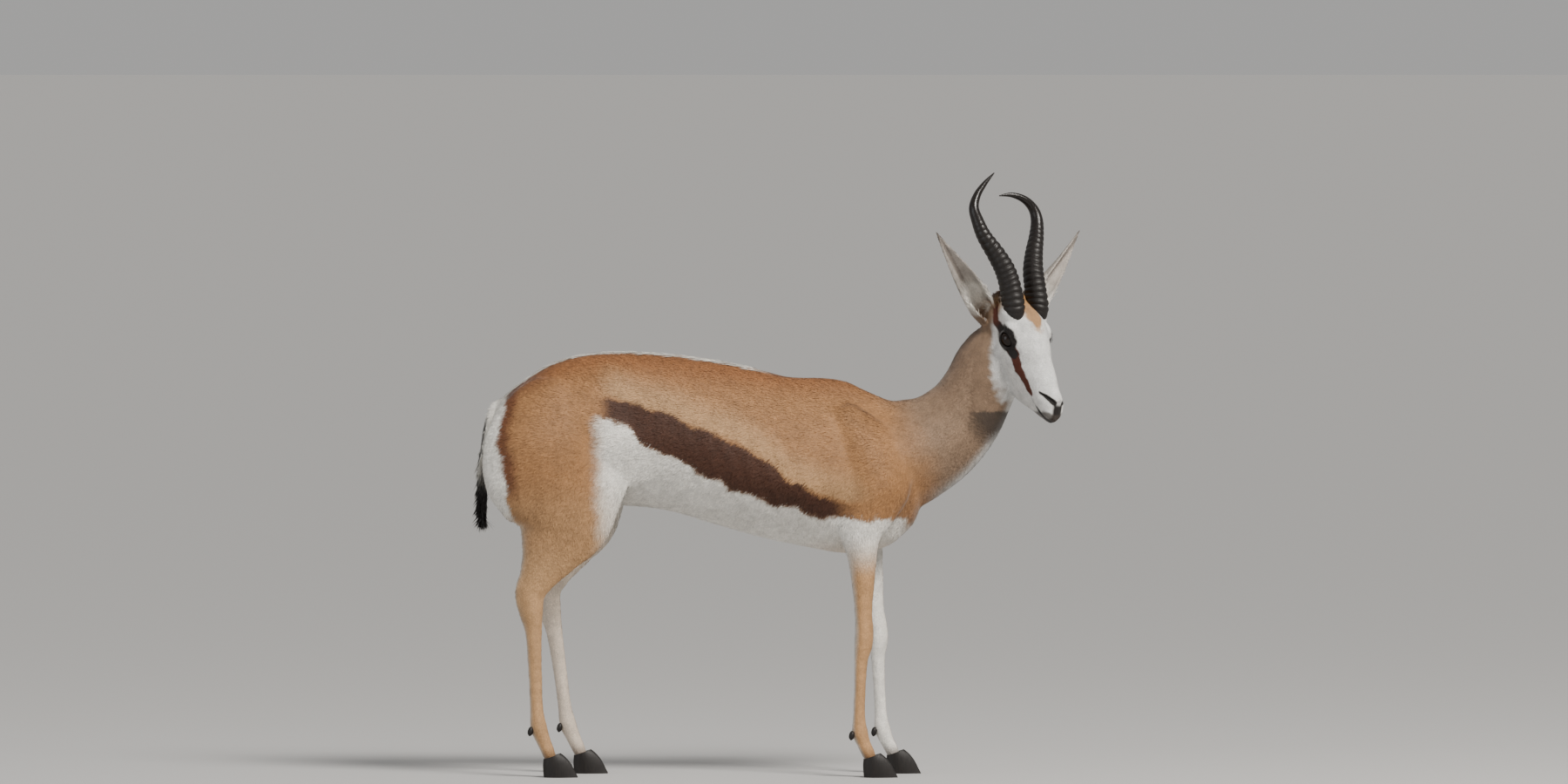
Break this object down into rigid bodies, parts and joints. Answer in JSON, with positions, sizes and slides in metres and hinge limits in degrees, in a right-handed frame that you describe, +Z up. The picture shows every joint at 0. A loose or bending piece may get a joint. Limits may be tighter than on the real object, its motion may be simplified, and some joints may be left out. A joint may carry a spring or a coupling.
{
  "type": "springbok",
  "caption": "Life-size standing springbok ram with ringed lyre horns and upright ears, its head turned to its right, as a still model.",
  "frame": {"origin": "centre of the bounding box at its base, on the floor between the feet", "axes": "+X from the rump to the chest, +Y to the animal's left, +Z up"},
  "size_m": [1.153, 0.2882, 1.1546],
  "materials": {
    "coat": "short tan hair",
    "neck": "short grey-brown hair",
    "face": "very short white hair",
    "ear": "short grey hair",
    "shank": "very short fawn hair",
    "tail": "white hair with a dark tuft",
    "horn": "black horn, satin, glossier at the tips",
    "hoof": "black horn, satin",
    "eye": "wet and glossy"
  },
  "bodies": {
    "root": {"ear_left": "ear", "ear_right": "ear", "eye_left": "eye", "eye_right": "eye", "foreleg_left_hoof_inner": "hoof", "foreleg_left_hoof_outer": "hoof", "foreleg_left_lower": "shank", "foreleg_left_upper": "coat", "foreleg_right_hoof_inner": "hoof", "foreleg_right_hoof_outer": "hoof", "foreleg_right_lower": "shank", "foreleg_right_upper": "coat", "head": "face", "hindleg_left_hoof_inner": "hoof", "hindleg_left_hoof_outer": "hoof", "hindleg_left_lower": "shank", "hindleg_left_upper": "coat", "hindleg_right_hoof_inner": "hoof", "hindleg_right_hoof_outer": "hoof", "hindleg_right_lower": "shank", "hindleg_right_upper": "coat", "horn_left": "horn", "horn_right": "horn", "neck": "neck", "tail": "tail", "torso": "coat"}
  },
  "joints": []
}
